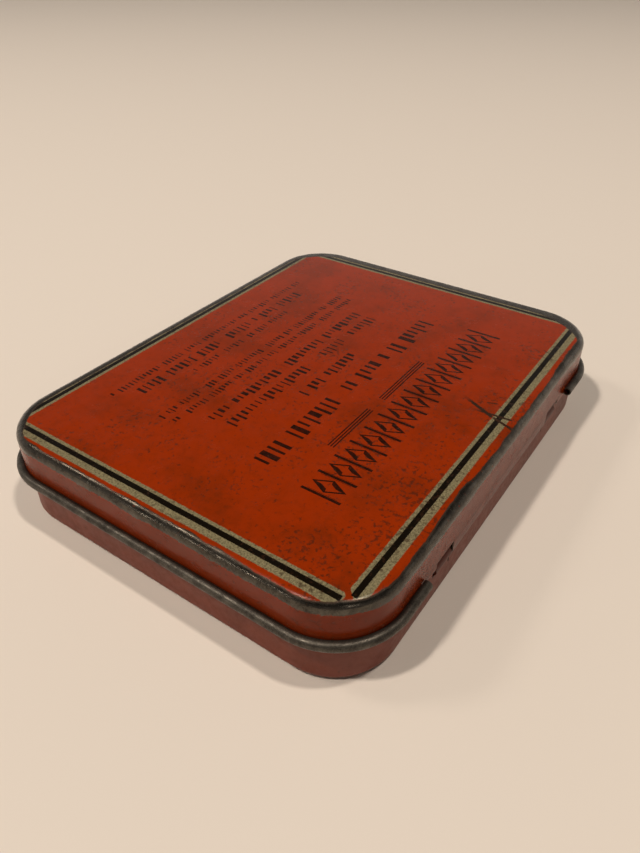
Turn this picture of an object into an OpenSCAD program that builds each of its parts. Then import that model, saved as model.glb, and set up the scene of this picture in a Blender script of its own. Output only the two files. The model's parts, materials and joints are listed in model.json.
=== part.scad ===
// Flat hinged pocket tin, drawn from tinplate.
// A shallow base pan and a lid with a curled bead turn on one hinge wire at the back.
// Units are millimetres. The origin is the middle of the underside, +Z is up,
// +X runs along the hinge side and the hinge is at +Y.

/* [Overall] */
// Length of the lid over its skirt, along the hinge side
lid_length = 92.2; // [70:0.1:140]
// Depth of the lid over its skirt, front to hinge side
lid_depth = 72.4; // [55:0.1:110]
// Height of the closed tin
tin_height = 16.4; // [13.5:0.1:24]
// Outer radius of the lid's upright corners
corner_r = 10.9; // [7:0.1:16]

/* [Tinplate] */
// Thickness of the sheet
sheet_t = 0.24; // [0.18:0.01:0.32]
// Gap between the base wall and the lid skirt, each side
fit_gap = 0.22; // [0.15:0.01:0.4]

/* [Lid] */
// Outer radius of the rounded edge round the top
rim_r = 1.5; // [1:0.1:2.5]
// Outer diameter of the bead curled along the skirt's lower edge
bead_d = 1.6; // [1.2:0.1:2]
// Height of the middle of the bead above the table
bead_z = 9.2; // [8.6:0.1:10.5]
// Open seam where the curl ends beside the skirt
curl_seam = 0.12; // [0.05:0.01:0.25]

/* [Base] */
// Outer radius of the rounded edge round the underside
foot_r = 1.3; // [1.2:0.1:2.5]
// Height of the folded hem inside the rim
hem_h = 1.8; // [1:0.1:2.5]
// Least gap left at the front while the lid swings
swing_gap = 0.09; // [0.05:0.01:0.12]

/* [Hinge] */
// Diameter of the hinge wire
wire_d = 1.2; // [0.9:0.1:1.5]
// Play between the wire and a knuckle, all round
wire_play = 0.05; // [0.03:0.01:0.08]
// Height of the hinge wire above the table
hinge_z = 7.2; // [6.6:0.1:7.6]
// Length of the lid's middle knuckle
barrel_len = 39; // [24:0.5:46]
// Length of each of the base's end knuckles
ear_len = 5; // [2.5:0.1:6]
// Gap between neighbouring knuckles and round the cut-outs
slit = 0.3; // [0.2:0.05:0.5]
// Length of plain skirt between a cut-out and the bead
web_len = 3.9; // [2:0.1:6]
// Height of the cut-out above an end knuckle
window_rise = 1.4; // [0.6:0.1:2]
// How far the cut beside an end knuckle runs down the wall
slit_drop = 1.2; // [0.4:0.1:2]

/* [Hidden] */
$fn = 96;

// Spare length that lets a cut run past a surface
past = 0.5;

lid_x = lid_length / 2;
lid_y = lid_depth / 2;
bead_r = bead_d / 2;
bead_bottom = bead_z - bead_r;

inset = sheet_t + fit_gap;
base_x = lid_x - inset;
base_y = lid_y - inset;
base_corner_r = corner_r - inset;

wire_r = wire_d / 2;
knuckle_bore_r = wire_r + wire_play;
knuckle_r = knuckle_bore_r + sheet_t;
hinge_y = lid_y - knuckle_r;

barrel_end = barrel_len / 2;
ear_start = barrel_end + slit;
ear_end = ear_start + ear_len;
window_end = ear_end + slit;
bead_end = window_end + web_len;

notch_z = hinge_z - knuckle_r - slit;
window_z = hinge_z + knuckle_r + window_rise;

// The front of the lid moves in by rise^2 / (2 * reach) as it lifts past the base wall,
// so the wall may rise this far above the hinge.
reach = hinge_y + lid_y - sheet_t;
base_top = hinge_z + sqrt(2 * reach * (fit_gap - swing_gap));

lid_colour = [0.66, 0.22, 0.05];
base_colour = [0.50, 0.20, 0.13];
wire_colour = [0.45, 0.44, 0.41];

// Rounded rectangle with exact corner arcs
module rounded_rectangle(half_x, half_y, r) {
    square([2 * half_x, 2 * (half_y - r)], center = true);
    square([2 * (half_x - r), 2 * half_y], center = true);
    for (sx = [-1, 1], sy = [-1, 1])
        translate([sx * (half_x - r), sy * (half_y - r)])
            circle(r = r);
}

// Runs a wall section once round the tin.
// In the section, x is the distance from the corner's centre and y is the height.
module round_the_tin(half_x, half_y, r) {
    for (turn = [0, 180])
        rotate(turn)
            straight_side(half_x, half_y - r, r)
                children();
    for (turn = [90, 270])
        rotate(turn)
            straight_side(half_y, half_x - r, r)
                children();
    for (corner = [0:3])
        translate([
            (corner == 0 || corner == 3 ? 1 : -1) * (half_x - r),
            (corner < 2 ? 1 : -1) * (half_y - r),
            0
        ])
            rotate(90 * corner)
                rotate_extrude(angle = 90)
                    children();
}

module straight_side(half_out, half_run, r) {
    translate([half_out - r, half_run, 0])
        rotate([90, 0, 0])
            linear_extrude(2 * half_run)
                children();
}

// Quarter of a bent sheet, from +x round to +y
module bend_section(r) {
    intersection() {
        difference() {
            circle(r = r);
            circle(r = r - sheet_t);
        }
        square(r);
    }
}

// Skirt of the lid with the rounded edge above it
module skirt_section() {
    translate([corner_r - rim_r, tin_height - rim_r])
        bend_section(rim_r);
    translate([corner_r - sheet_t, bead_z])
        square([sheet_t, tin_height - rim_r - bead_z]);
}

// Curl that carries on from the skirt, under, outwards and back to it
module bead_section() {
    translate([corner_r - sheet_t + bead_r, bead_z])
        difference() {
            circle(r = bead_r);
            circle(r = bead_r - sheet_t);
            translate([-bead_r, 0])
                square([sheet_t + curl_seam, bead_r + past]);
        }
}

// Wall of the base with its rounded foot and folded hem
module base_section() {
    translate([base_corner_r - foot_r, foot_r])
        mirror([0, 1])
            bend_section(foot_r);
    translate([base_corner_r - sheet_t, foot_r])
        square([sheet_t, base_top - sheet_t - foot_r]);
    translate([base_corner_r - 2 * sheet_t, base_top - hem_h])
        square([sheet_t, hem_h - sheet_t]);
    translate([base_corner_r - sheet_t, base_top - sheet_t])
        circle(r = sheet_t);
}

// Rolled knuckle along X from x0 to x1, with its open seam turned to seam_angle
module knuckle(x0, x1, seam_angle) {
    translate([x0, hinge_y, hinge_z])
        difference() {
            rotate([0, 90, 0])
                cylinder(r = knuckle_r, h = x1 - x0);
            translate([-past, 0, 0])
                rotate([0, 90, 0])
                    cylinder(r = knuckle_bore_r, h = x1 - x0 + 2 * past);
            rotate([seam_angle, 0, 0])
                translate([-past, 0, -curl_seam])
                    cube([x1 - x0 + 2 * past, knuckle_r + past, 2 * curl_seam]);
        }
}

// Block behind the tin's rear wall between two places along X, used for cuts
module rear_cut(x0, x1, z0, z1) {
    translate([x0, base_y - 3 * sheet_t, z0])
        cube([x1 - x0, inset + 3 * sheet_t + past, z1 - z0]);
}

// Shallow pan that holds the contents; its rear wall is cut for the lid's knuckle
module base_pan() {
    color(base_colour) {
        linear_extrude(sheet_t)
            rounded_rectangle(base_x - foot_r, base_y - foot_r, base_corner_r - foot_r);
        difference() {
            round_the_tin(base_x, base_y, base_corner_r)
                base_section();
            rear_cut(-window_end, window_end, notch_z, base_top + past);
            for (side = [-1, 1])
                translate([side * (barrel_end + slit / 2), 0, 0])
                    rear_cut(-slit / 2, slit / 2, notch_z - slit_drop, notch_z + past);
        }
        for (side = [0, 1])
            mirror([side, 0, 0])
                base_ear();
    }
}

// End knuckle rolled from the top of the rear wall
module base_ear() {
    knuckle(ear_start, ear_end, 215);
    difference() {
        translate([ear_start, base_y - sheet_t, notch_z])
            cube([ear_len, sheet_t, hinge_z - notch_z]);
        translate([ear_start - past, hinge_y, hinge_z])
            rotate([0, 90, 0])
                cylinder(r = knuckle_bore_r, h = ear_len + 2 * past);
    }
}

// Drawn lid with its skirt, bead and middle knuckle
module lid_shell() {
    color(lid_colour) {
        translate([0, 0, tin_height - sheet_t])
            linear_extrude(sheet_t)
                rounded_rectangle(lid_x - rim_r, lid_y - rim_r, corner_r - rim_r);
        difference() {
            round_the_tin(lid_x, lid_y, corner_r)
                skirt_section();
            for (side = [0, 1])
                mirror([side, 0, 0])
                    rear_cut(barrel_end, window_end, bead_z - past, window_z);
        }
        difference() {
            round_the_tin(lid_x, lid_y, corner_r)
                bead_section();
            translate([-bead_end, lid_y - 2 * sheet_t, bead_bottom - past])
                cube([2 * bead_end, bead_d + 2 * past, bead_d + 2 * past]);
        }
        for (side = [0, 1])
            mirror([side, 0, 0])
                translate([window_end, lid_y - sheet_t, bead_bottom])
                    cube([web_len, sheet_t, bead_r]);
        translate([-barrel_end, lid_y - sheet_t, hinge_z])
            cube([barrel_len, sheet_t, bead_z - hinge_z]);
        knuckle(-barrel_end, barrel_end, 55);
    }
}

// Straight wire that all the knuckles turn on
module hinge_wire() {
    color(wire_colour)
        translate([slit - ear_end, hinge_y, hinge_z])
            rotate([0, 90, 0])
                cylinder(r = wire_r, h = 2 * (ear_end - slit));
}

base_pan();
lid_shell();
hinge_wire();
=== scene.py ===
"""Looks for a flat hinged pocket tin: printed lid, painted base pan and hinge wire."""
import json
from math import acos, cos, degrees, pi, radians, sin

import bmesh
import bpy
from bpy.props import FloatProperty, FloatVectorProperty, IntProperty, PointerProperty
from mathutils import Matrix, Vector


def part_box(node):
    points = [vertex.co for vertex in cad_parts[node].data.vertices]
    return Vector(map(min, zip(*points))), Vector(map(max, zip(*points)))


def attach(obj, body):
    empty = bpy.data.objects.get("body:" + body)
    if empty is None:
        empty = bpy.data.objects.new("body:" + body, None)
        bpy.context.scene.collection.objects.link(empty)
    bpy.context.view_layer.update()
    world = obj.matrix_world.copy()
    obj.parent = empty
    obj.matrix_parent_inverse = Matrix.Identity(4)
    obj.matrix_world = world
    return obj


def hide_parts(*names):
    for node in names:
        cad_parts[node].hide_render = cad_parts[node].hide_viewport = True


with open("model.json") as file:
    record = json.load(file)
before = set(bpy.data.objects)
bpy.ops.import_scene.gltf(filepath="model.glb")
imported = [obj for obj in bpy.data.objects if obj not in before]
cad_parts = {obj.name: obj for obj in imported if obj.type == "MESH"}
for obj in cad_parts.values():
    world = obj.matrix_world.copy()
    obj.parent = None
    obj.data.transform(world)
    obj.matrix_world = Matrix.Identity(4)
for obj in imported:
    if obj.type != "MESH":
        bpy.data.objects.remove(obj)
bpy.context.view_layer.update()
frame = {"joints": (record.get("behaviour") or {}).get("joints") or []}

bl_info = {
    "name": "Hinged Pocket Tin",
    "version": (1, 0, 0),
    "blender": (4, 5, 0),
    "location": "3D View > Sidebar > Tin",
    "description": "Builds the worn, printed sheet-metal pieces of a flat hinged pocket tin",
    "category": "Object",
}

MM = 0.001
# How far the middle of a plate or floor is left open, as a share of the corner radius
PLATE_EDGE = 0.88
# Angles in degrees, in the tin's end view, of the bends round the hinge wire
BARREL_ROLL = (0, -297)
EAR_ROLL = (-45, 206)

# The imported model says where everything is.
LID_LOW, LID_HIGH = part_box("lid_shell")
BASE_LOW, BASE_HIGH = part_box("base_pan")
WIRE_LOW, WIRE_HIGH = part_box("hinge_wire")
HINGE = Vector(next(j["pos_m"] for j in frame["joints"] if j["name"] == "lid_hinge"))


# ---------------------------------------------------------------- sizes and colours

def length(name, description, default, low=0.0, high=1.0):
    """A length in metres that the sidebar shows in the scene's unit."""
    return FloatProperty(name=name, description=description, default=default, min=low, max=high,
                         precision=5, unit="LENGTH", subtype="DISTANCE")


def colour(name, description, default):
    return FloatVectorProperty(name=name, description=description, default=default, size=3,
                               min=0.0, max=1.0, subtype="COLOR")


def share(name, description, default):
    return FloatProperty(name=name, description=description, default=default, min=0.0, max=1.0,
                         subtype="FACTOR")


class TinSizes(bpy.types.PropertyGroup):
    """Sizes of the bent sheet, apart from those that the frame gives"""
    sheet: length("Sheet", "Thickness of the tinplate", 0.24 * MM)
    corner: length("Corner", "Outer radius of the lid's upright corners", 10.9 * MM)
    rim: length("Rim", "Outer radius of the rounded edge round the top", 1.5 * MM)
    bead: length("Bead", "Outer diameter of the curl along the skirt", 1.6 * MM)
    bead_height: length("Bead Height", "Height of the middle of the bead", 9.2 * MM)
    seam: length("Seam", "Open gap where a curl ends", 0.12 * MM)
    foot: length("Foot", "Outer radius of the rounded edge round the underside", 1.3 * MM)
    hem: length("Hem", "Height of the fold inside the base's rim", 1.8 * MM)
    play: length("Wire Play", "Gap between the wire and a knuckle", 0.05 * MM)
    barrel: length("Lid Knuckle", "Length of the lid's middle knuckle", 39 * MM)
    ear: length("Base Knuckle", "Length of each of the base's end knuckles", 5 * MM)
    slit: length("Slit", "Gap between neighbouring knuckles", 0.3 * MM)
    web: length("Web", "Plain skirt between a cut-out and the bead", 3.9 * MM)
    window_rise: length("Window Rise", "Height of a cut-out above its knuckle", 1.4 * MM)
    slit_drop: length("Slit Drop", "How far a cut runs down the base's wall", 1.2 * MM)
    station: length("Station", "Longest step between two sections of the sheet", 0.8 * MM)
    waviness: length("Waviness", "How far the walls wander from true", 0.05 * MM)
    wave_length: length("Wave Length", "Distance between two waves of the walls", 16 * MM)
    seed: IntProperty(name="Seed", description="Picks one set of waves", default=7, min=0)


class TinColours(bpy.types.PropertyGroup):
    """Paints, inks and bare metals"""
    lid_paint: colour("Lid Orange", "Printed ground of the lid", (0.290, 0.0255, 0.0008))
    # Lid Brown paints aged patches, and is also the painted shade on the skirt and the knuckle
    # roll.
    lid_brown_and_shade: colour("Lid Brown", "Aged and dirty patches of the lid", (0.115, 0.0165, 0.0015))
    bar_ink: colour("Bar Black", "Bars of the printed frame", (0.006, 0.004, 0.002))
    cream_ink: colour("Cream", "Lines beside the bars of the frame", (0.255, 0.220, 0.122))
    print_ink: colour("Dark Ink", "Frieze and tally rows", (0.010, 0.004, 0.002))
    base_paint: colour("Base Brown", "Paint of the base pan", (0.180, 0.033, 0.014))
    # Rust is also the colour of the painted shade just above the lid's bead and on the base under
    # it.
    rust: colour("Rust", "Specks and dirt", (0.030, 0.012, 0.005))
    worn_dark: colour("Worn Dark", "Tarnished patches of bare edges", (0.030, 0.026, 0.021))
    worn_light: colour("Worn Light", "Rubbed patches of bare edges", (0.125, 0.112, 0.092))
    tinplate: colour("Tinplate", "Bare sheet inside the tin", (0.520, 0.500, 0.450))
    steel: colour("Steel", "Hinge wire", (0.300, 0.285, 0.260))


class TinWear(bpy.types.PropertyGroup):
    """How used the tin is"""
    specks: share("Specks", "Rust specks through the print", 0.55)
    # Grime also sets the strength of the painted shade above the lid's bead and on the base under
    # it.
    grime_and_shade: share("Grime", "Dirt along edges and seams", 0.6)
    fading: share("Fading", "Loss of the dark ink", 0.06)


class TinStage(bpy.types.PropertyGroup):
    """Floor, light and camera"""
    floor: colour("Floor", "Plain pale floor", (0.800, 0.735, 0.660))
    key_power: FloatProperty(name="Key Light", description="Power of the lamp overhead",
                             default=12.0, min=0.0, unit="POWER")
    key_colour: colour("Key Colour", "Tint of the lamp overhead", (1.0, 0.89, 0.78))
    sky_strength: FloatProperty(name="Room Light", description="Strength of the soft room light",
                                default=0.28, min=0.0)
    sky_colour: colour("Room Colour", "Tint of the soft room light", (1.0, 0.90, 0.82))
    eye: FloatVectorProperty(name="Camera", description="Where the camera stands",
                             default=(0.08952, 0.06036, 0.08411), size=3, unit="LENGTH",
                             subtype="TRANSLATION", precision=5)
    aim: FloatVectorProperty(name="Aim", description="Point that the camera looks at",
                             default=(0.00615, 0.00282, 0.008), size=3, unit="LENGTH",
                             subtype="TRANSLATION", precision=5)
    lens: FloatProperty(name="Lens", description="Focal length", default=29.08, min=1.0,
                        unit="CAMERA")


class Plan:
    """Where each bend, cut and knuckle lies, worked out from the frame and the sizes."""

    def __init__(self, s):
        self.s = s
        self.height = LID_HIGH.z
        self.lid_x = LID_HIGH.x - (s.bead - s.sheet)
        self.lid_y = LID_HIGH.y - (s.bead - s.sheet)
        self.base_x = BASE_HIGH.x
        self.base_y = -BASE_LOW.y
        self.base_corner = s.corner - (self.lid_x - self.base_x)
        self.base_top = BASE_HIGH.z
        self.wire_r = (WIRE_HIGH.z - WIRE_LOW.z) / 2
        self.knuckle_r = self.wire_r + s.play + s.sheet
        self.barrel_end = s.barrel / 2
        self.ear_start = self.barrel_end + s.slit
        self.ear_end = self.ear_start + s.ear
        self.window_end = self.ear_end + s.slit
        self.bead_end = self.window_end + s.web
        self.notch = HINGE.z - self.knuckle_r - s.slit
        self.window_top = HINGE.z + self.knuckle_r + s.window_rise


# ---------------------------------------------------------------- lines and sections

def run(start, end, step):
    """Points from start to end, the start left out, no further apart than step."""
    count = max(1, round((end - start).length / step + 0.499))
    return [start.lerp(end, i / count) for i in range(1, count + 1)]


def arc(centre, radius, start, end, count):
    """Points round a centre, from one angle to another in degrees."""
    angles = [radians(start + (end - start) * i / count) for i in range(count + 1)]
    return [centre + radius * Vector((cos(a), sin(a))) for a in angles]


def tin_outline(half_x, half_y, corner, step, gap=0.0):
    """Path round the tin, anticlockwise from the hinge side, left open over the gap."""
    quarter = max(8, round(corner * pi / 2 / step))
    points = [Vector((-gap, half_y))]
    for side_x, side_y, start in ((-1, 1, 90), (-1, -1, 180), (1, -1, 270), (1, 1, 0)):
        centre = Vector((side_x * (half_x - corner), side_y * (half_y - corner)))
        bend = arc(centre, corner, start, start + 90, quarter)
        points += run(points[-1], bend[0], step) + bend[1:]
    points += run(points[-1], Vector((gap, half_y)), step)
    return points if gap else points[:-1]


def hinge_side_path(start, end, y, step):
    """Straight path along the hinge side, in the outline's own direction."""
    points = [Vector((end, y))]
    return points + run(points[0], Vector((start, y)), step)


def offset_line(points, distance):
    """The bent line moved sideways, to the left of its direction."""
    moved = []
    for i, here in enumerate(points):
        along = points[min(i + 1, len(points) - 1)] - points[max(i - 1, 0)]
        left = Vector((-along.y, along.x)).normalized()
        moved.append(here + left * distance)
    return moved


def lid_section(plan):
    """Middle of the lid's sheet: plate, rounded rim and skirt."""
    s = plan.s
    half = s.sheet / 2
    plate = [Vector((-PLATE_EDGE * s.corner, plan.height - half))]
    plate += run(plate[0], Vector((-s.rim, plan.height - half)), 2 * MM)
    rim = arc(Vector((-s.rim, plan.height - s.rim)), s.rim - half, 90, 0, 12)
    skirt = run(rim[-1], Vector((-half, s.bead_height)), 1 * MM)
    return plate[:-1] + rim + skirt


def bead_section(plan):
    """Middle of the curl that carries on from the skirt, under, outwards and back."""
    s = plan.s
    radius = (s.bead - s.sheet) / 2
    centre = Vector((s.bead / 2 - s.sheet, s.bead_height))
    closing = 360 + degrees(acos((s.seam - centre.x) / radius))
    return arc(centre, radius, 180, closing, 30)


def base_section(plan):
    """Middle of the base's sheet: floor, rounded foot, wall and folded hem."""
    s = plan.s
    half = s.sheet / 2
    # A hem never closes quite flat.
    loose = 1.15
    fold = half * loose
    crown = Vector((-half - fold, plan.base_top - s.sheet * loose))
    floor = [Vector((-PLATE_EDGE * plan.base_corner, half))]
    floor += run(floor[0], Vector((-s.foot, half)), 2 * MM)
    foot = arc(Vector((-s.foot, s.foot)), s.foot - half, -90, 0, 12)
    wall = run(foot[-1], Vector((-half, crown.y)), 1 * MM)
    hem = arc(crown, fold, 0, 180, 10)
    tail = run(hem[-1], Vector((hem[-1].x, plan.base_top - s.hem)), 1 * MM)
    return floor[:-1] + foot + wall[:-1] + hem + tail


def barrel_section(plan):
    """Skirt that runs on down and rolls inwards round the hinge wire."""
    s = plan.s
    half = s.sheet / 2
    centre = Vector((HINGE.y, HINGE.z))
    tab = [Vector((plan.lid_y - half, s.bead_height))]
    roll = arc(centre, plan.knuckle_r - half, *BARREL_ROLL, 30)
    return tab + run(tab[0], roll[0], 0.7 * MM)[:-1] + roll


def ear_section(plan):
    """Tongue of the base's rear wall that rises and rolls over the hinge wire."""
    half = plan.s.sheet / 2
    centre = Vector((HINGE.y, HINGE.z))
    radius = plan.knuckle_r - half
    roll = arc(centre, radius, *EAR_ROLL, 28)
    root = Vector((plan.base_y - half, plan.notch))
    shoulder = Vector((plan.base_y - half, plan.notch + 0.2 * MM))
    swell = shoulder.lerp(roll[0], 0.5) + Vector((-0.03 * MM, 0))
    return [root, shoulder, swell] + roll


# ---------------------------------------------------------------- sheet along a path

def add_socket(tree, name, kind, direction="INPUT"):
    return tree.interface.new_socket(name, in_out=direction, socket_type="NodeSocket" + kind)


def sheet_tree():
    """Geometry Nodes that run a section along a path and let its walls wander a little."""
    tree = bpy.data.node_groups.new("sheet_along_path", "GeometryNodeTree")
    add_socket(tree, "Geometry", "Geometry")
    for name, kind in (("Section", "Object"), ("Waviness", "Float"), ("Wave Length", "Float"),
                       ("Seed", "Int"), ("Closed Ends", "Bool"), ("Finish", "Material")):
        add_socket(tree, name, kind)
    add_socket(tree, "Geometry", "Geometry", "OUTPUT")
    bench = Bench(tree)
    inputs = bench.add("NodeGroupInput").outputs

    section = bench.add("GeometryNodeObjectInfo")
    bench.feed(section.inputs["Object"], inputs["Section"])
    upright = bench.add("GeometryNodeSetCurveNormal", mode="Z_UP")
    bench.feed(upright.inputs["Curve"], inputs["Geometry"])
    sweep = bench.add("GeometryNodeCurveToMesh")
    bench.feed(sweep.inputs["Curve"], upright.outputs["Curve"])
    bench.feed(sweep.inputs["Profile Curve"], section.outputs["Geometry"])
    bench.feed(sweep.inputs["Scale"], bench.add("GeometryNodeInputRadius").outputs["Radius"])
    bench.feed(sweep.inputs["Fill Caps"], inputs["Closed Ends"])

    place = bench.vector("DIVIDE", bench.add("GeometryNodeInputPosition").outputs[0],
                         bench.combine(*[inputs["Wave Length"]] * 3))
    noise = bench.add("ShaderNodeTexNoise", noise_dimensions="4D")
    bench.feed(noise.inputs["Vector"], place)
    bench.feed(noise.inputs["W"], inputs["Seed"])
    bench.feed(noise.inputs["Scale"], 1.0)
    bench.feed(noise.inputs["Detail"], 1.0)
    centred = bench.vector("SUBTRACT", noise.outputs["Color"], (0.5, 0.5, 0.5))
    doubled = bench.product(inputs["Waviness"], 2.0)
    wander = bench.vector("MULTIPLY", centred, bench.combine(doubled, doubled, 0.0))

    moved = bench.add("GeometryNodeSetPosition")
    bench.feed(moved.inputs["Geometry"], sweep.outputs["Mesh"])
    bench.feed(moved.inputs["Offset"], wander)
    real = bench.add("GeometryNodeRealizeInstances")
    bench.feed(real.inputs["Geometry"], moved.outputs["Geometry"])
    finish = bench.add("GeometryNodeSetMaterial")
    bench.feed(finish.inputs["Geometry"], real.outputs["Geometry"])
    bench.feed(finish.inputs["Material"], inputs["Finish"])
    bench.feed(bench.add("NodeGroupOutput").inputs["Geometry"], finish.outputs["Geometry"])
    return tree


def put_in_scene(name, data):
    """New object of a mesh, curve, lamp or camera, at the origin."""
    thing = bpy.data.objects.new(name, data)
    bpy.context.scene.collection.objects.link(thing)
    return thing


def poly_curve(name, points, closed, thickness=None):
    """Curve of straight steps; thickness scales what is drawn along it, point by point."""
    curve = bpy.data.curves.new(name, "CURVE")
    curve.dimensions = "3D"
    spline = curve.splines.new("POLY")
    spline.points.add(len(points) - 1)
    for i, (handle, point) in enumerate(zip(spline.points, points)):
        handle.co = (*point.to_3d(), 1)
        handle.radius = thickness[i] if thickness else 1.0
    spline.use_cyclic_u = closed
    return put_in_scene(name, curve)


def draw_along(path, section, s, finish, closed_path=False, closed_section=False,
               closed_ends=False, thickness=None, true=False):
    """Mesh of one section run along one path by the Geometry Nodes tree; true has no waves."""
    tree = bpy.data.node_groups.get("sheet_along_path") or sheet_tree()
    guide = poly_curve("guide", path, closed_path, thickness)
    # The tree lays a section's second axis downwards.
    outline = poly_curve("outline", [Vector((p.x, -p.y)) for p in section], closed_section)
    modifier = guide.modifiers.new("sheet", "NODES")
    modifier.node_group = tree
    values = {"Section": outline, "Waviness": 0.0 if true else s.waviness,
              "Wave Length": s.wave_length,
              "Seed": s.seed, "Closed Ends": closed_ends, "Finish": finish}
    for item in tree.interface.items_tree:
        if item.in_out == "INPUT" and item.name in values:
            modifier[item.identifier] = values[item.name]
    evaluated = guide.evaluated_get(bpy.context.evaluated_depsgraph_get())
    mesh = bpy.data.meshes.new_from_object(evaluated)
    guide.modifiers.remove(modifier)
    for helper in (guide, outline):
        bpy.data.objects.remove(helper)
    return mesh


def gather(meshes, finishes):
    """One bmesh of several meshes, each face keeping its own finish."""
    whole = bmesh.new()
    for mesh in meshes:
        for face in mesh.polygons:
            face.material_index = finishes.index(mesh.materials[face.material_index])
        whole.from_mesh(mesh)
        bpy.data.meshes.remove(mesh)
    return whole


def close_holes(shell):
    """Fills every open edge loop; a new face takes the finish of the sheet beside it."""
    rims = [edge for edge in shell.edges if edge.is_boundary]
    made = bmesh.ops.holes_fill(shell, edges=rims, sides=0)["faces"]
    for face in made:
        beside = {other.material_index for edge in face.edges
                  for other in edge.link_faces if other is not face}
        face.material_index = max(beside)


def sheet_part(path, middle, s, left, right, closed_path=False, true=False):
    """Bent sheet with one finish on each side, as a closed shell."""
    half = s.sheet / 2
    near = offset_line(middle, half)
    far = offset_line(middle, -half)
    strips = [(near, left), (far + [near[-1]], right)]
    if not closed_path:
        strips.append(([near[0], far[0]], right))
    sides = [draw_along(path, section, s, finish, closed_path, true=true)
             for section, finish in strips]
    finishes = list(dict.fromkeys((left, right)))
    shell = gather(sides, finishes)
    bmesh.ops.remove_doubles(shell, verts=shell.verts, dist=0.001 * MM)
    close_holes(shell)
    bmesh.ops.recalc_face_normals(shell, faces=shell.faces)
    mesh = bpy.data.meshes.new("sheet")
    shell.to_mesh(mesh)
    shell.free()
    for finish in finishes:
        mesh.materials.append(finish)
    return mesh


def block(low, high, finish):
    """Box-shaped cutter."""
    cutter = bmesh.new()
    bmesh.ops.create_cube(cutter, size=1.0)
    for vertex in cutter.verts:
        vertex.co = [(a + b) / 2 + v * (b - a) for a, b, v in zip(low, high, vertex.co)]
    mesh = bpy.data.meshes.new("cutter")
    cutter.to_mesh(mesh)
    cutter.free()
    mesh.materials.append(finish)
    return mesh


def cut_away(mesh, cutters, finish):
    """The mesh less the boxes, with the raw edges in their own finish."""
    part = put_in_scene("part", mesh)
    helpers = [part]
    for low, high in cutters:
        tool = put_in_scene("tool", block(low, high, finish))
        helpers.append(tool)
        cut = part.modifiers.new("cut", "BOOLEAN")
        cut.operation = "DIFFERENCE"
        cut.solver = "EXACT"
        cut.material_mode = "TRANSFER"
        cut.object = tool
    evaluated = part.evaluated_get(bpy.context.evaluated_depsgraph_get())
    result = bpy.data.meshes.new_from_object(evaluated)
    for helper in helpers:
        bpy.data.objects.remove(helper)
    return result


def rear_box(plan, start, end, bottom, top):
    """Corners of a box through the rear walls, for a cut."""
    spare = 3 * plan.s.sheet
    return ((start, plan.base_y - spare, bottom), (end, plan.lid_y + spare, top))


def press(shell, place, reach, push):
    """Small dent: points near a place move by push, fading out at reach."""
    for vertex in shell.verts:
        away = (vertex.co - place).length / reach
        if away < 1:
            vertex.co += push * (1 - away * away) ** 2


def finished_piece(name, parts, finishes, dents=()):
    """Plain object made of several parts, with smooth bends and sharp cut edges."""
    shell = gather(parts, finishes)
    for place, reach, push in dents:
        press(shell, place, reach, push)
    mesh = bpy.data.meshes.new(name)
    shell.to_mesh(mesh)
    shell.free()
    for finish in finishes:
        mesh.materials.append(finish)
    mesh.shade_smooth()
    mesh.set_sharp_from_angle(angle=radians(40))
    return put_in_scene(name, mesh)


# ---------------------------------------------------------------- node helpers

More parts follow.
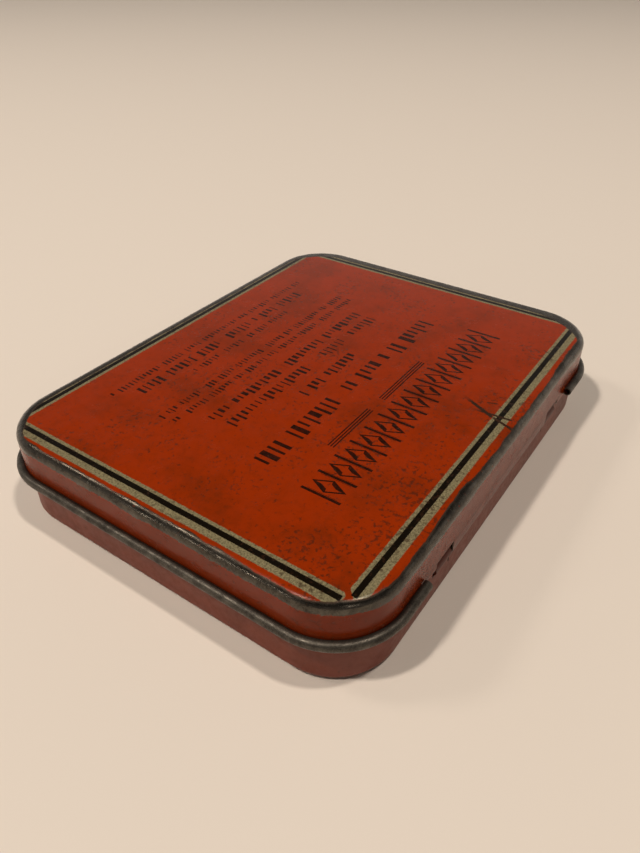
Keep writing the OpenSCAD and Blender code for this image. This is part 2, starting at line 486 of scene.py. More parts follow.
class Bench:
    """Adds nodes to one tree and joins them."""

    def __init__(self, tree):
        self.tree = tree

    def add(self, kind, **settings):
        node = self.tree.nodes.new(kind)
        for name, value in settings.items():
            setattr(node, name, value)
        return node

    def feed(self, socket, value):
        """Links a socket, or sets its value."""
        if isinstance(value, bpy.types.NodeSocket):
            self.tree.links.new(value, socket)
        else:
            socket.default_value = value

    def math(self, operation, *values):
        node = self.add("ShaderNodeMath", operation=operation)
        for socket, value in zip(node.inputs, values):
            self.feed(socket, value)
        return node.outputs[0]

    def chain(self, operation, first, *others):
        for other in others:
            first = self.math(operation, first, other)
        return first

    def total(self, *values):
        return self.chain("ADD", *values)

    def product(self, *values):
        return self.chain("MULTIPLY", *values)

    def either(self, *values):
        """The largest value, so the union of several masks."""
        return self.chain("MAXIMUM", *values)

    def least(self, *values):
        return self.chain("MINIMUM", *values)

    def less(self, value, taken):
        return self.math("SUBTRACT", value, taken)

    def ratio(self, value, part):
        return self.math("DIVIDE", value, part)

    def size(self, value):
        return self.math("ABSOLUTE", value)

    def other_than(self, mask):
        return self.less(1.0, mask)

    def vector(self, operation, *values):
        node = self.add("ShaderNodeVectorMath", operation=operation)
        for socket, value in zip(node.inputs, values):
            self.feed(socket, value)
        return node.outputs[0]

    def combine(self, x, y, z):
        node = self.add("ShaderNodeCombineXYZ")
        for socket, value in zip(node.inputs, (x, y, z)):
            self.feed(socket, value)
        return node.outputs[0]

    def split(self, vector):
        node = self.add("ShaderNodeSeparateXYZ")
        self.feed(node.inputs[0], vector)
        return node.outputs

    def rise(self, value, low, high, bottom=0.0, top=1.0):
        """Smooth step from bottom to top as the value goes from low to high."""
        node = self.add("ShaderNodeMapRange", interpolation_type="SMOOTHSTEP")
        for socket, number in zip(node.inputs, (value, low, high, bottom, top)):
            self.feed(socket, number)
        return node.outputs[0]

    def noise(self, place, per_mm, detail=2.0, roughness=0.5, shift=0.0, stretch=None):
        """Noise between about 0 and 1; shift picks another part of the pattern."""
        if shift or stretch:
            mapping = self.add("ShaderNodeMapping")
            self.feed(mapping.inputs["Vector"], place)
            mapping.inputs["Location"].default_value = (shift, -shift, 2 * shift)
            mapping.inputs["Scale"].default_value = stretch or (1, 1, 1)
            place = mapping.outputs[0]
        node = self.add("ShaderNodeTexNoise")
        self.feed(node.inputs["Vector"], place)
        node.inputs["Scale"].default_value = per_mm
        node.inputs["Detail"].default_value = detail
        node.inputs["Roughness"].default_value = roughness
        return node.outputs[0]

    def mix(self, mask, under, over):
        """Colour over shows where the mask is 1."""
        node = self.add("ShaderNodeMix", data_type="RGBA")
        self.feed(node.inputs[0], mask)
        for socket, value in zip((node.inputs[6], node.inputs[7]), (under, over)):
            self.feed(socket, value if isinstance(value, bpy.types.NodeSocket) else (*value, 1))
        return node.outputs[2]

    def group(self, tree, **values):
        node = self.add("ShaderNodeGroup", node_tree=tree)
        for name, value in values.items():
            self.feed(node.inputs[name.replace("_", " ")], value)
        return node.outputs[0]

    def millimetres(self):
        """Object coordinates in millimetres."""
        mapping = self.add("ShaderNodeMapping")
        source = self.add("ShaderNodeTexCoord").outputs["Object"]
        self.feed(mapping.inputs["Vector"], source)
        mapping.inputs["Scale"].default_value = (1 / MM, 1 / MM, 1 / MM)
        return mapping.outputs[0]


def mask_group(name, inputs):
    """Empty shader group with float inputs after Place, and one output, Mask."""
    tree = bpy.data.node_groups.new(name, "ShaderNodeTree")
    add_socket(tree, "Place", "Vector")
    for label in inputs:
        add_socket(tree, label, "Float")
    add_socket(tree, "Mask", "Float", "OUTPUT")
    bench = Bench(tree)
    sockets = bench.add("NodeGroupInput").outputs
    end = bench.add("NodeGroupOutput").inputs["Mask"]
    return tree, bench, sockets, end


def once(maker):
    """Keeps one copy of a group, made when it is first asked for."""
    def fetch():
        return bpy.data.node_groups.get(maker.__name__) or maker(maker.__name__)
    return fetch


@once
def depth_from_side(name):
    """Level distance in from the upright wall of a rounded rectangle."""
    tree, bench, given, end = mask_group(name, ("Half Length", "Half Depth", "Corner"))
    x, y, _ = bench.split(given["Place"])
    over = []
    for value, half in ((x, given["Half Length"]), (y, given["Half Depth"])):
        inner = bench.less(half, given["Corner"])
        over.append(bench.less(bench.size(value), inner))
    beyond = [bench.either(value, 0.0) for value in over]
    squares = [bench.product(value, value) for value in beyond]
    round_part = bench.math("SQRT", bench.total(*squares))
    flat_part = bench.least(bench.either(*over), 0.0)
    inside = bench.less(given["Corner"], bench.total(round_part, flat_part))
    bench.feed(end, inside)
    return tree


@once
def ink_block(name):
    """Printed rectangle with slightly ragged edges."""
    labels = ("Left", "Right", "Bottom", "Top", "Ragged", "Soft")
    tree, bench, given, end = mask_group(name, labels)
    x, y, _ = bench.split(given["Place"])
    room = [bench.less(x, given["Left"]), bench.less(given["Right"], x),
            bench.less(y, given["Bottom"]), bench.less(given["Top"], y)]
    inside = room[0]
    for value in room[1:]:
        inside = bench.least(inside, value)
    grain = bench.less(bench.noise(given["Place"], 3.2, 3.0, 0.7), 0.5)
    edge = bench.total(inside, bench.product(grain, given["Ragged"]))
    below = bench.product(given["Soft"], -1.0)
    bench.feed(end, bench.rise(edge, below, given["Soft"]))
    return tree


@once
def tally_row(name):
    """Row of upright strokes in groups, some tall and some short."""
    labels = ("Left", "Right", "Bottom", "Top", "Pitch", "Weight", "Group", "Seed")
    tree, bench, given, end = mask_group(name, labels)
    x, y, _ = bench.split(given["Place"])
    steps = bench.ratio(bench.less(x, given["Left"]), given["Pitch"])
    cell = bench.math("FLOOR", steps)
    chance = bench.add("ShaderNodeTexWhiteNoise", noise_dimensions="1D")
    bench.feed(chance.inputs["W"], bench.total(cell, bench.product(given["Seed"], 37.0)))
    red, green, blue = bench.split(chance.outputs["Color"])
    width = bench.product(given["Weight"], bench.rise(red, 0.0, 1.0, 0.20, 0.46))
    middle = bench.size(bench.less(bench.math("FRACT", steps), 0.5))
    across = bench.less(width, middle)
    stroke = bench.rise(bench.product(across, given["Pitch"]), -0.05, 0.05)
    tall = bench.less(given["Top"], given["Bottom"])
    lowered = bench.product(tall, bench.rise(green, 0.45, 0.55, 0.0, 0.30))
    head = bench.less(given["Top"], lowered)
    gap = bench.rise(bench.math("MODULO", cell, given["Group"]), 0.2, 0.8)
    kept = bench.product(gap, bench.rise(blue, 0.05, 0.07))
    bounds = bench.group(ink_block(), Place=given["Place"], Left=given["Left"],
                         Right=given["Right"], Bottom=given["Bottom"], Top=head,
                         Ragged=0.12, Soft=0.06)
    bench.feed(end, bench.product(stroke, kept, bounds))
    return tree


@once
def lozenge_band(name):
    """Frieze of hollow lozenges with an upright bar between each two."""
    labels = ("Left", "Right", "Middle", "Half Height", "Pitch")
    tree, bench, given, end = mask_group(name, labels)
    x, y, _ = bench.split(given["Place"])
    steps = bench.ratio(bench.less(x, given["Left"]), given["Pitch"])
    swing = bench.less(bench.math("FRACT", steps), 0.5)
    level = bench.size(bench.less(y, given["Middle"]))
    share_up = bench.ratio(level, given["Half Height"])
    across = bench.product(bench.size(swing), 2.0)
    # 1 on the lozenge's outline, less inside it; two of its four sides are heavy
    reach = bench.total(bench.product(across, 1.42), share_up)
    rising = bench.product(swing, bench.less(y, given["Middle"]))
    heavy = bench.rise(rising, -0.02, 0.02, 0.40, 0.74)
    body = bench.product(bench.rise(reach, 1.0, 0.96),
                         bench.rise(bench.less(reach, heavy), 0.0, 0.05))
    post_side = bench.rise(across, 0.87, 0.89)
    thin_side = bench.product(bench.rise(across, 0.795, 0.81), bench.rise(across, 0.84, 0.825))
    post = bench.product(post_side, bench.rise(share_up, 1.12, 1.10))
    thin = bench.product(thin_side, bench.rise(share_up, 0.86, 0.84))
    edge = bench.product(given["Half Height"], 1.2)
    bounds = bench.group(ink_block(), Place=given["Place"],
                         Left=bench.less(given["Left"], 0.3),
                         Right=bench.total(given["Right"], 0.3),
                         Bottom=bench.less(given["Middle"], edge),
                         Top=bench.total(given["Middle"], edge), Ragged=0.1, Soft=0.05)
    bench.feed(end, bench.product(bench.either(body, post, thin), bounds))
    return tree


@once
def scratch(name):
    """Ragged straight scratch from one point to another."""
    labels = ("From X", "From Y", "To X", "To Y", "Width")
    tree, bench, given, end = mask_group(name, labels)
    x, y, _ = bench.split(given["Place"])
    start = bench.combine(given["From X"], given["From Y"], 0.0)
    finish = bench.combine(given["To X"], given["To Y"], 0.0)
    along = bench.vector("SUBTRACT", finish, start)
    here = bench.vector("SUBTRACT", bench.combine(x, y, 0.0), start)

    def dot(a, b):
        node = bench.add("ShaderNodeVectorMath", operation="DOT_PRODUCT")
        bench.feed(node.inputs[0], a)
        bench.feed(node.inputs[1], b)
        return node.outputs["Value"]

    travelled = bench.ratio(dot(here, along), dot(along, along))
    travelled = bench.least(bench.either(travelled, 0.0), 1.0)
    nearest = bench.vector("MULTIPLY", along, bench.combine(travelled, travelled, travelled))
    off = bench.add("ShaderNodeVectorMath", operation="LENGTH")
    bench.feed(off.inputs[0], bench.vector("SUBTRACT", here, nearest))
    grain = bench.less(bench.noise(given["Place"], 2.2, 3.0, 0.7), 0.5)
    half = bench.product(given["Width"], bench.total(0.5, grain))
    fade = bench.rise(travelled, 0.0, 0.25, 0.35, 1.0)
    bench.feed(end, bench.rise(bench.less(half, off.outputs["Value"]), -0.08, 0.08, 0.0, fade))
    return tree


# ---------------------------------------------------------------- finishes

def new_finish(name):
    """Material with an empty tree apart from its shader and output."""
    material = bpy.data.materials.new(name)
    material.use_nodes = True
    tree = material.node_tree
    tree.nodes.clear()
    bench = Bench(tree)
    shader = bench.add("ShaderNodeBsdfPrincipled")
    output = bench.add("ShaderNodeOutputMaterial")
    tree.links.new(shader.outputs[0], output.inputs["Surface"])
    return material, bench, shader.inputs


def shared_finish(maker):
    """Makes a finish the first time that it is asked for; pieces share it after that."""
    def fetch(context):
        name = maker.__name__
        material = bpy.data.materials.get(name)
        if not material:
            material, bench, shader = new_finish(name)
            scene = context.scene
            maker(bench, shader, bench.millimetres(), Plan(scene.tin_sizes),
                  scene.tin_colours, scene.tin_wear)
        return material
    return fetch


def dress(bench, shader, surface, metallic, roughness, height, strength, depth):
    """Feeds the shader; the height, between 0 and 1, becomes a bump of the depth in mm."""
    bump = bench.add("ShaderNodeBump")
    bump.inputs["Strength"].default_value = strength
    bump.inputs["Distance"].default_value = depth * MM
    bench.feed(bump.inputs["Height"], height)
    for name, value in (("Base Color", surface), ("Metallic", metallic),
                        ("Roughness", roughness), ("Normal", bump.outputs[0])):
        bench.feed(shader[name], value)


def worn_metal(bench, place, dark, light):
    """Colour of rubbed and tarnished edges, and the pattern behind it."""
    patches = bench.noise(place, 0.55, 5.0, 0.62, shift=11.0)
    grain = bench.noise(place, 3.5, 3.0, 0.65, shift=4.0)
    fine = bench.noise(place, 8.0, 3.0, 0.7, shift=6.0)
    level = bench.total(bench.product(patches, 0.5), bench.product(grain, 0.3),
                        bench.product(fine, 0.3))
    pattern = bench.rise(level, 0.38, 0.72)
    return bench.mix(pattern, dark, light), pattern


def frame_print(bench, place, shift, half, bar, cream_in, cream_out, ends):
    """Masks of the printed frame: cream slabs, and black bars over them."""
    mapping = bench.add("ShaderNodeMapping")
    bench.feed(mapping.inputs["Vector"], place)
    mapping.inputs["Location"].default_value = (-shift[0], -shift[1], 0)
    quarter = bench.vector("ABSOLUTE", mapping.outputs[0])
    across, up, _ = bench.split(quarter)
    # A bare diagonal lane keeps the bars apart at each corner.
    lane_middle = half[0] - half[1] - 0.33
    lane = bench.size(bench.less(bench.less(across, up), lane_middle))
    clear = bench.rise(lane, 0.50, 0.72)
    creams, bars = [], []
    for flip in (False, True):
        spot = bench.combine(up, across, 0.0) if flip else quarter
        middle = half[0] if flip else half[1]
        end = ends[1] if flip else ends[0]
        far = {"Place": spot, "Left": -1.0}
        creams.append(bench.group(ink_block(), Right=end + 0.25, Ragged=0.34, Soft=0.07,
                                  Bottom=middle - bar / 2 - cream_in,
                                  Top=middle + bar / 2 + cream_out, **far))
        bars.append(bench.group(ink_block(), Right=end, Ragged=0.10, Soft=0.05,
                                Bottom=middle - bar / 2, Top=middle + bar / 2, **far))
    return bench.product(bench.either(*creams), clear), bench.either(*bars)


# Rows of tally strokes: left, right, bottom, top, pitch, weight, group
TALLY_ROWS = (
    (-28.3, 28.5, 5.3, 8.8, 1.62, 0.80, 10),
    (-8.5, 9.2, 0.3, 2.5, 1.30, 0.66, 12),
    (-22.9, -3.6, -4.3, -2.0, 1.22, 0.58, 9),
    (0.4, 23.7, -4.3, -2.0, 1.22, 0.58, 20),
    (-22.9, 23.9, -7.8, -5.7, 1.24, 0.72, 11),
    (-26.9, 28.3, -12.1, -10.7, 0.82, 0.62, 8),
    (-27.2, 28.3, -14.7, -13.2, 0.82, 0.62, 11),
    (-14.7, 14.2, -20.1, -18.6, 0.86, 0.60, 8),
    (-23.3, 25.3, -23.7, -21.4, 1.18, 0.62, 7),
    (-27.6, 28.9, -26.4, -25.0, 0.84, 0.58, 13),
)

# Plain rules under the frieze: left, right, bottom, top
RULES = (
    (-11.9, 2.8, 13.85, 14.10), (-11.9, 2.8, 13.35, 13.60), (-11.9, 2.8, 12.85, 13.10),
    (6.6, 18.7, 13.85, 14.10), (6.6, 18.7, 13.35, 13.60), (6.6, 18.7, 12.85, 13.10),
)

# Dark scratches near the hinge side: from, to, width
SCRATCHES = (
    (-5.9, 25.4, -3.2, 31.0, 0.66),
    (-3.2, 31.0, -1.8, 35.0, 0.58),
    (-3.5, 27.8, -4.0, 34.2, 0.50),
    (-7.3, 30.6, -6.6, 29.0, 0.30),
)


def lid_artwork(bench, place, ink_left):
    """Mask of all the dark ink inside the frame: frieze, rules and tally rows."""
    marks = [bench.group(lozenge_band(), Place=place, Left=-28.3, Right=28.9, Middle=18.6,
                         Half_Height=3.1, Pitch=4.4)]
    for left, right, bottom, top in RULES:
        marks.append(bench.group(ink_block(), Place=place, Left=left, Right=right,
                                 Bottom=bottom, Top=top, Ragged=0.12, Soft=0.05))
    for number, row in enumerate(TALLY_ROWS):
        left, right, bottom, top, pitch, weight, group = row
        marks.append(bench.group(tally_row(), Place=place, Left=left, Right=right,
                                 Bottom=bottom, Top=top, Pitch=pitch, Weight=weight,
                                 Group=float(group), Seed=float(number + 1)))
    return bench.product(bench.either(*marks), ink_left)


@shared_finish
def lid_print(bench, shader, place, plan, colours, wear):
    """Litho print of the lid: ground, frame, dark ink, specks, the rubbed rim and painted shade.
    """
    x, y, z = bench.split(place)
    top = plan.height / MM
    depth = bench.group(depth_from_side(), Place=place, Half_Length=plan.lid_x / MM,
                        Half_Depth=plan.lid_y / MM, Corner=plan.s.corner / MM)
    on_top = bench.rise(z, top - 1.2, top - 0.9)

    clouds = bench.noise(place, 0.09, 4.0, 0.6)
    mottle = bench.noise(place, 0.75, 5.0, 0.68, shift=3.0)
    aged = bench.total(bench.product(bench.rise(clouds, 0.42, 0.70), 0.45),
                       bench.product(bench.rise(mottle, 0.45, 0.75), 0.30))
    paint = bench.mix(aged, colours.lid_paint, colours.lid_brown_and_shade)

    fading = bench.rise(bench.noise(place, 1.4, 4.0, 0.7, shift=7.0), 0.30, 0.62,
                        1 - 2.2 * wear.fading, 1 - 0.4 * wear.fading)
    paint = bench.mix(bench.product(lid_artwork(bench, place, fading), on_top),
                      paint, colours.print_ink)
    cream, bars = frame_print(bench, place, (0.34, -0.46), (42.49, 32.89), 0.92,
                              0.60, 1.15, (41.40, 31.75))
    cream_dirt = bench.rise(bench.noise(place, 3.4, 4.0, 0.8, shift=9.0), 0.40, 0.66)
    cream_colour = bench.mix(bench.product(cream_dirt, 0.85), colours.cream_ink,
                             [0.22 * c for c in colours.cream_ink])
    paint = bench.mix(bench.product(cream, on_top), paint, cream_colour)
    paint = bench.mix(bench.product(bars, on_top), paint, colours.bar_ink)

    # Rust specks crowd towards the hinge side and the right-hand end.
    fine = bench.noise(place, 1.35, 3.0, 0.62, shift=21.0)
    crowd = bench.noise(place, 0.11, 2.0, 0.5, shift=31.0)
    region = bench.product(bench.rise(x, -8.0, 12.0), bench.rise(y, 12.0, 26.0))
    thick = bench.total(crowd, bench.product(region, 0.10))
    level = bench.total(fine, bench.product(thick, 0.22 + 0.16 * wear.specks))
    specks = bench.rise(level, 0.72, 0.87)
    stains = bench.product(bench.rise(bench.noise(place, 0.42, 4.0, 0.7, shift=40.0), 0.60, 0.74),
                           0.35)
    marks = bench.either(bench.product(specks, 0.62), stains)
    for start_x, start_y, end_x, end_y, width in SCRATCHES:
        line = bench.group(scratch(), Place=place, From_X=start_x, From_Y=start_y,
                           To_X=end_x, To_Y=end_y, Width=width)
        marks = bench.either(marks, bench.product(line, on_top))
    paint = bench.mix(marks, paint, colours.rust)

    # Painted shade: a dark band in the crease above the bead; skirt and knuckle roll darker than
    # the top.
    seam_crease_shade = bench.product(bench.rise(z, 10.1, 9.4), bench.rise(z, 8.9, 9.3))
    seam_shade_strength = bench.product(seam_crease_shade, wear.grime_and_shade)
    paint = bench.mix(seam_shade_strength, paint, colours.rust)
    skirt_shade = bench.product(bench.rise(z, top - 1.4, top - 2.4), 0.65, bench.rise(z, 8.3, 9.3))
    paint = bench.mix(skirt_shade, paint, colours.lid_brown_and_shade)
    # Painted shade: the underside of the lid's knuckle roll on the hinge side is painted darker.
    rolled = bench.product(bench.rise(z, 9.2, 8.5), bench.rise(y, 33.5, 35.0), 0.75)
    paint = bench.mix(rolled, paint, colours.lid_brown_and_shade)

    # The rim is rubbed through, most along the front and the left-hand end.
    far_left = bench.rise(x, -15.0, -35.0)
    knocked = bench.rise(bench.size(bench.less(x, 19.0)), 9.0, 2.0)
    extra = [bench.rise(y, 25.0, 34.0, 0.0, 0.3),
             bench.product(knocked, bench.rise(y, 30.0, 35.0), 0.5),
             bench.product(far_left, bench.rise(y, 20.0, 34.0), 0.6),
             bench.rise(y, -28.0, -34.0, 0.0, 1.6),
             bench.rise(x, -36.0, -43.0, 0.0, 2.5),
             bench.product(bench.rise(x, 40.0, 43.0), bench.rise(y, 26.0, 12.0), 0.45)]
    ragged = bench.total(bench.product(bench.noise(place, 0.28, 3.0, 0.6, shift=2.0), 0.85),
                         bench.product(bench.noise(place, 3.0, 3.0, 0.7, shift=5.0), 0.15), -0.5)
    reach = bench.total(0.62, ragged, *extra)
    beyond = bench.less(reach, depth)
    over = bench.rise(beyond, -0.06, 0.06)
    flaked = bench.total(bench.product(bench.noise(place, 1.7, 4.0, 0.75, shift=45.0), 1.2), -0.6)
    above = bench.rise(bench.total(z, bench.product(ragged, 1.1), flaked), top - 2.0, top - 1.75)
    left_on = bench.rise(bench.noise(place, 1.6, 3.0, 0.7, shift=15.0), 0.66, 0.72)
    rubbed = bench.product(over, above, bench.other_than(bench.product(left_on, 0.7)))
    metal, pattern = worn_metal(bench, place, colours.worn_dark, colours.worn_light)
    # Painted shade: the rim band on the hinge side is darker and less metallic.
    hinge_shade_and_rust = bench.product(bench.rise(z, top - 0.5, top - 1.3), bench.rise(y, 34.0, 35.5), 0.65)
    metal = bench.mix(hinge_shade_and_rust, metal, [0.7 * c for c in colours.worn_light])
    # Where the paint ends, the metal has rusted a little, and the hinge side's band has painted
    # shade.
    rusty_edge = bench.product(bench.rise(beyond, 0.32, 0.08), 0.65)
    metal = bench.mix(rusty_edge, metal, [1.6 * c for c in colours.rust])
    hinge_shade_and_rust = bench.either(hinge_shade_and_rust, rusty_edge)
    surface = bench.mix(rubbed, paint, metal)

    metallic = bench.either(bench.product(rubbed, bench.other_than(hinge_shade_and_rust), 0.95), rolled)
    smear = bench.noise(place, 0.3, 4.0, 0.6, shift=50.0)
    paint_rough = bench.rise(smear, 0.3, 0.7, 0.18, 0.28)
    rough = bench.total(paint_rough, bench.product(marks, 0.08),
                        bench.product(rubbed, bench.rise(pattern, 0.0, 1.0, 0.10, -0.05)))
    skin = bench.total(bench.product(rubbed, -0.08), bench.product(specks, -0.35),
                       bench.product(mottle, 0.20), bench.product(pattern, rubbed, 0.18))
    shader["Specular IOR Level"].default_value = 0.14
    dress(bench, shader, surface, metallic, rough, skin, 0.55, 0.05)


@shared_finish
def bead_metal(bench, shader, place, plan, colours, wear):
    """Bare back of the sheet, turned outwards by the curl: tarnished and rubbed."""
    metal, pattern = worn_metal(bench, place, colours.worn_dark, colours.worn_light)
    rust = bench.rise(bench.noise(place, 1.1, 4.0, 0.7, shift=60.0), 0.60, 0.72)
    surface = bench.mix(bench.product(rust, wear.grime_and_shade), metal, colours.rust)
    height = bench.total(bench.product(pattern, 0.4), bench.product(rust, -0.4),
                         bench.product(bench.noise(place, 5.0, 2.0), 0.2))
    dress(bench, shader, surface, bench.rise(rust, 0.0, 1.0, 0.85, 0.35),
          bench.rise(pattern, 0.0, 1.0, 0.58, 0.36), height, 0.5, 0.05)


@shared_finish
def base_enamel_paint(bench, shader, place, plan, colours, wear):
    """Red-brown paint of the base pan, rubbed at its foot and raw edges, with painted shade."""
    x, y, z = bench.split(place)
    clouds = bench.noise(place, 0.12, 4.0, 0.6, shift=6.0)
    mottle = bench.noise(place, 0.9, 5.0, 0.7, shift=8.0)
    aged = bench.total(bench.product(bench.rise(clouds, 0.35, 0.70), 0.35),
                       bench.product(bench.rise(mottle, 0.42, 0.75), 0.25))
    paint = bench.mix(aged, colours.base_paint, [0.45 * c for c in colours.base_paint])
    specks = bench.rise(bench.noise(place, 1.3, 3.0, 0.62, shift=23.0), 0.66, 0.74)
    paint = bench.mix(bench.product(specks, 0.7), paint, colours.rust)
    beside = bench.size(bench.less(bench.size(x), (plan.ear_start + plan.ear_end) / 2 / MM))
    # Painted shade: the base's wall in the knuckle recesses is painted dark red.
    knuckles = bench.product(bench.rise(beside, 3.2, 2.7), bench.rise(y, 32.5, 33.5),
                             bench.rise(z, plan.notch / MM - 0.6, plan.notch / MM + 0.2))
    paint = bench.mix(bench.product(knuckles, 0.9), paint, [0.35 * c for c in colours.base_paint])
    # Painted shade: the wall just under the lid's bead is darkened.
    under_bead = bench.product(bench.rise(z, 7.4, 8.6), wear.grime_and_shade, 0.7)
    paint = bench.mix(under_bead, paint, colours.rust)
    ragged = bench.noise(place, 1.2, 4.0, 0.7, shift=14.0)
    foot = bench.rise(bench.total(z, bench.product(ragged, 0.9)), 0.72, 0.62)
    flat = bench.rise(z, 0.12, 0.06)
    ring = bench.group(depth_from_side(), Place=place, Half_Length=plan.base_x / MM,
                       Half_Depth=plan.base_y / MM, Corner=plan.base_corner / MM)
    edge = bench.rise(bench.total(ring, bench.product(ragged, -2.0)), 1.9, 1.5)
    islands = bench.rise(bench.noise(place, 0.5, 4.0, 0.65, shift=19.0), 0.60, 0.66)
    rubbed = bench.product(foot, bench.either(bench.other_than(flat), edge, islands))
    metal, _ = worn_metal(bench, place, colours.worn_dark, colours.worn_light)
    height = bench.total(bench.product(mottle, 0.3), bench.product(specks, -0.4),
                         bench.product(rubbed, -0.5))
    shader["Specular IOR Level"].default_value = 0.26
    dress(bench, shader, bench.mix(rubbed, paint, metal), bench.product(rubbed, 0.8),
          bench.rise(mottle, 0.3, 0.7, 0.32, 0.46), height, 0.5, 0.05)


@shared_finish
def inside_tinplate(bench, shader, place, plan, colours, wear):
    """Bare sheet inside the tin, stained here and there."""
    drawn = bench.noise(place, 0.5, 4.0, 0.6, shift=70.0, stretch=(0.15, 1.6, 1.0))
    stains = bench.rise(bench.noise(place, 0.16, 5.0, 0.7, shift=80.0), 0.50, 0.75)
    specks = bench.rise(bench.noise(place, 1.5, 3.0, 0.6, shift=90.0), 0.68, 0.76)
    streaks = bench.mix(bench.rise(drawn, 0.3, 0.7), [0.75 * c for c in colours.tinplate],
                        colours.tinplate)
    stained = bench.mix(bench.product(stains, 0.55), streaks, colours.worn_dark)
    surface = bench.mix(bench.product(specks, wear.specks), stained, colours.rust)
    height = bench.total(bench.product(drawn, 0.3), bench.product(specks, -0.3))
    dress(bench, shader, surface, bench.rise(bench.either(stains, specks), 0.0, 1.0, 0.95, 0.55),
          bench.rise(stains, 0.0, 1.0, 0.34, 0.58), height, 0.35, 0.03)


@shared_finish
def wire_steel(bench, shader, place, plan, colours, wear):
    """Dull drawn steel of the hinge wire."""
    drawn = bench.noise(place, 2.0, 3.0, 0.6, shift=33.0, stretch=(0.1, 2.0, 2.0))
    rust = bench.rise(bench.noise(place, 0.9, 4.0, 0.7, shift=35.0), 0.52, 0.68)
    steel = bench.mix(drawn, [0.6 * c for c in colours.steel], colours.steel)
    dress(bench, shader, bench.mix(bench.product(rust, 0.8), steel, colours.rust),
          bench.rise(rust, 0.0, 1.0, 0.95, 0.3), bench.rise(rust, 0.0, 1.0, 0.36, 0.7),
          drawn, 0.3, 0.03)


# ---------------------------------------------------------------- operators

class TIN_OT_lid(bpy.types.Operator):
    """Bend the lid: plate, rim and skirt, curled bead, webs and middle knuckle"""
    bl_idname = "tin.make_lid"
    bl_label = "Printed Lid"

    def execute(self, context):
        s = context.scene.tin_sizes
        plan = Plan(s)
        printed = lid_print(context)
        curl = bead_metal(context)
        bare = inside_tinplate(context)
        around = tin_outline(plan.lid_x, plan.lid_y, s.corner, s.station)
        shell = sheet_part(around, lid_section(plan), s, printed, bare, closed_path=True)
        span = plan.window_end - plan.barrel_end
        below = s.bead_height - 1 * MM
        windows = [rear_box(plan, start, start + span, below, plan.window_top)
                   for start in (plan.barrel_end, -plan.window_end)]
        parts = [cut_away(shell, windows, curl)]

        open_path = tin_outline(plan.lid_x, plan.lid_y, s.corner, s.station, plan.bead_end)
        parts.append(sheet_part(open_path, bead_section(plan), s, printed, curl))
        web = [Vector((-s.sheet / 2, s.bead_height)),
               Vector((-s.sheet / 2, s.bead_height - s.bead / 2))]
        for start in (plan.window_end, -plan.bead_end):
            path = hinge_side_path(start, start + s.web, plan.lid_y, s.station)
            parts.append(sheet_part(path, web, s, printed, bare))
        across = hinge_side_path(-plan.barrel_end, plan.barrel_end, 0.0, s.station)
        parts.append(sheet_part(across, barrel_section(plan), s, printed, bare, true=True))

        dents = [
            (Vector((plan.lid_x, 3 * MM, plan.height)), 5 * MM, Vector((-0.12, 0, -0.16)) * MM),
            (Vector((plan.lid_x, -9 * MM, plan.height)), 4 * MM, Vector((-0.10, 0, -0.10)) * MM),
            (Vector((plan.lid_x, 14 * MM, plan.height)), 3 * MM, Vector((-0.08, 0, -0.08)) * MM),
            (Vector((-22 * MM, plan.lid_y, plan.height)), 6 * MM, Vector((0, -0.1, -0.12)) * MM),
            (Vector((12 * MM, plan.lid_y, plan.height)), 4 * MM, Vector((0, -0.08, -0.1)) * MM),
        ]
        piece = finished_piece("printed_lid", parts, [printed, curl, bare], dents)
        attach(piece, "lid")
        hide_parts("lid_shell")
        return {"FINISHED"}


class TIN_OT_base(bpy.types.Operator):
    """Bend the base pan: floor, foot, wall and hem, the cuts and the two end knuckles"""
    bl_idname = "tin.make_base"
    bl_label = "Base Pan"

    def execute(self, context):
        s = context.scene.tin_sizes
        plan = Plan(s)
        painted = base_enamel_paint(context)
        raw = bead_metal(context)
        bare = inside_tinplate(context)
        around = tin_outline(plan.base_x, plan.base_y, plan.base_corner, s.station)
        pan = sheet_part(around, base_section(plan), s, bare, painted, closed_path=True)
        over = plan.base_top + 1 * MM
        cuts = [rear_box(plan, -plan.window_end, plan.window_end, plan.notch, over)]
        for side in (-1, 1):
            middle = side * (plan.barrel_end + s.slit / 2)
            cuts.append(rear_box(plan, middle - s.slit / 2, middle + s.slit / 2,
                                 plan.notch - s.slit_drop, plan.notch + s.sheet))
        parts = [cut_away(pan, cuts, raw)]
        for start in (plan.ear_start, -plan.ear_end):
            path = hinge_side_path(start, start + s.ear, 0.0, s.station)
            parts.append(sheet_part(path, ear_section(plan), s, bare, painted, true=True))
        piece = finished_piece("base_pan_shell", parts, [painted, raw, bare])
        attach(piece, "base")
        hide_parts("base_pan")
        return {"FINISHED"}


class TIN_OT_wire(bpy.types.Operator):
    """Draw the hinge wire with its cut and blunted ends"""
    bl_idname = "tin.make_hinge_wire"
    bl_label = "Hinge Wire"

    def execute(self, context):
        s = context.scene.tin_sizes
        plan = Plan(s)
        steel = wire_steel(context)
        blunt = 0.15 * MM
        reach = WIRE_HIGH.x
        middle = hinge_side_path(-reach + blunt, reach - blunt, HINGE.y, 1.5 * MM)
        path = [Vector((reach, HINGE.y)), *middle, Vector((-reach, HINGE.y))]
        path = [Vector((p.x, p.y, HINGE.z)) for p in path]
        thickness = [0.8] + [1.0] * len(middle) + [0.8]
        ring = arc(Vector((0, 0)), plan.wire_r, 0, 360, 24)[:-1]
        mesh = draw_along(path, ring, s, steel, closed_section=True, closed_ends=True,
                          thickness=thickness, true=True)
        piece = finished_piece("hinge_pin_wire", [mesh], [steel])
        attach(piece, "base")
        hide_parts("hinge_wire")
        return {"FINISHED"}


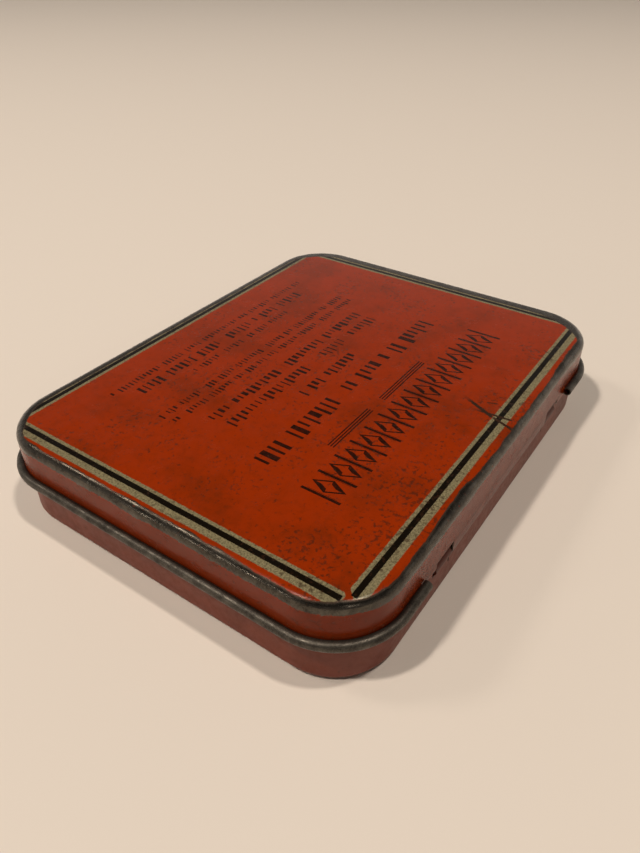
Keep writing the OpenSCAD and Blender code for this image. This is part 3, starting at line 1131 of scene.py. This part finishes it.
def point_from(holder, place, aim):
    """Stands a lamp or the camera at a place and turns it towards a point."""
    holder.location = place
    holder.rotation_euler = (aim - place).to_track_quat("-Z", "Y").to_euler()


def soft_lamp(name, place, aim, size, power, tint):
    """Square area lamp turned towards a point."""
    lamp = bpy.data.lights.new(name, "AREA")
    lamp.shape = "SQUARE"
    lamp.size = size
    lamp.energy = power
    lamp.color = tint
    point_from(put_in_scene(name, lamp), place, aim)


def soft_room(stage):
    """Warm light from all round, dimmer overhead and on the camera's side."""
    world = bpy.data.worlds.new("soft_room")
    world.use_nodes = True
    bench = Bench(world.node_tree)
    background = world.node_tree.nodes["Background"]
    background.inputs["Color"].default_value = (*stage.sky_colour, 1)
    x, y, z = bench.split(bench.add("ShaderNodeTexCoord").outputs["Generated"])
    far_side = bench.total(bench.product(x, -0.82), bench.product(y, -0.57))
    around = bench.rise(far_side, -0.8, 0.8, 0.70, 2.90)
    overhead = bench.rise(z, 0.25, 0.60, stage.sky_strength, 0.04 * stage.sky_strength)
    bench.feed(background.inputs["Strength"], bench.product(around, overhead))
    return world


# Soft lamps: name, place, size, share of the key light's power.
# The last three are weak: they fill the near side and put glints on the rim.
LAMPS = (
    ("front_lamp", (0.70, -0.37, 1.39), 0.10, 1.0),
    ("back_lamp", (-0.11, 0.45, 1.49), 0.10, 0.71),
    ("low_lamp", (0.48, -0.99, 1.15), 0.24, 0.25),
    ("side_lamp", (1.38, -0.72, 0.35), 0.08, 0.07),
    ("glint_lamp", (0.76, 1.09, 0.69), 0.06, 0.04),
)
FLOOR_HALF = 2.0


class TIN_OT_stage(bpy.types.Operator):
    """Set the pale floor, the soft light and the camera"""
    bl_idname = "tin.make_stage"
    bl_label = "Stage"

    def execute(self, context):
        stage = context.scene.tin_stage
        corners = [(x * FLOOR_HALF, y * FLOOR_HALF, 0)
                   for x, y in ((-1, -1), (1, -1), (1, 1), (-1, 1))]
        floor_mesh = bpy.data.meshes.new("pale_floor")
        floor_mesh.from_pydata(corners, [], [(0, 1, 2, 3)])
        material, _, shader = new_finish("pale_floor")
        shader["Base Color"].default_value = (*stage.floor, 1)
        shader["Roughness"].default_value = 0.75
        shader["Specular IOR Level"].default_value = 0.2
        floor_mesh.materials.append(material)
        floor = put_in_scene("pale_floor", floor_mesh)

        middle = Vector((0, 0, 0))
        for name, place, size, part in LAMPS:
            soft_lamp(name, Vector(place), middle, size, part * stage.key_power, stage.key_colour)
        context.scene.world = soft_room(stage)
        context.scene.view_settings.view_transform = "Standard"

        camera = bpy.data.cameras.new("camera")
        camera.lens = stage.lens
        camera.clip_start = 0.005
        holder = put_in_scene("camera", camera)
        point_from(holder, Vector(stage.eye), Vector(stage.aim))
        context.scene.camera = holder
        return {"FINISHED"}


class TIN_PT_pieces(bpy.types.Panel):
    """Buttons for each piece of the tin, with their sizes and colours"""
    bl_label = "Pocket Tin"
    bl_idname = "TIN_PT_pieces"
    bl_space_type = "VIEW_3D"
    bl_region_type = "UI"
    bl_category = "Tin"

    def draw(self, context):
        for operator in OPERATORS:
            self.layout.operator(operator.bl_idname)
        for name in SETTINGS:
            box = self.layout.box()
            settings = getattr(context.scene, name)
            for item in settings.bl_rna.properties:
                if not item.is_readonly and item.identifier != "name":
                    box.prop(settings, item.identifier)


SETTINGS = {"tin_sizes": TinSizes, "tin_colours": TinColours, "tin_wear": TinWear,
            "tin_stage": TinStage}
OPERATORS = (TIN_OT_lid, TIN_OT_base, TIN_OT_wire, TIN_OT_stage)


def register():
    for group in SETTINGS.values():
        bpy.utils.register_class(group)
    for piece in (*OPERATORS, TIN_PT_pieces):
        bpy.utils.register_class(piece)
    for name, group in SETTINGS.items():
        setattr(bpy.types.Scene, name, PointerProperty(type=group))


def unregister():
    for name in SETTINGS:
        delattr(bpy.types.Scene, name)
    for piece in (TIN_PT_pieces, *reversed(OPERATORS)):
        bpy.utils.unregister_class(piece)
    for group in reversed(SETTINGS.values()):
        bpy.utils.unregister_class(group)


def main():
    register()
    bpy.ops.tin.make_lid()
    bpy.ops.tin.make_base()
    bpy.ops.tin.make_hinge_wire()
    bpy.ops.tin.make_stage()


if __name__ == "__main__":
    main()
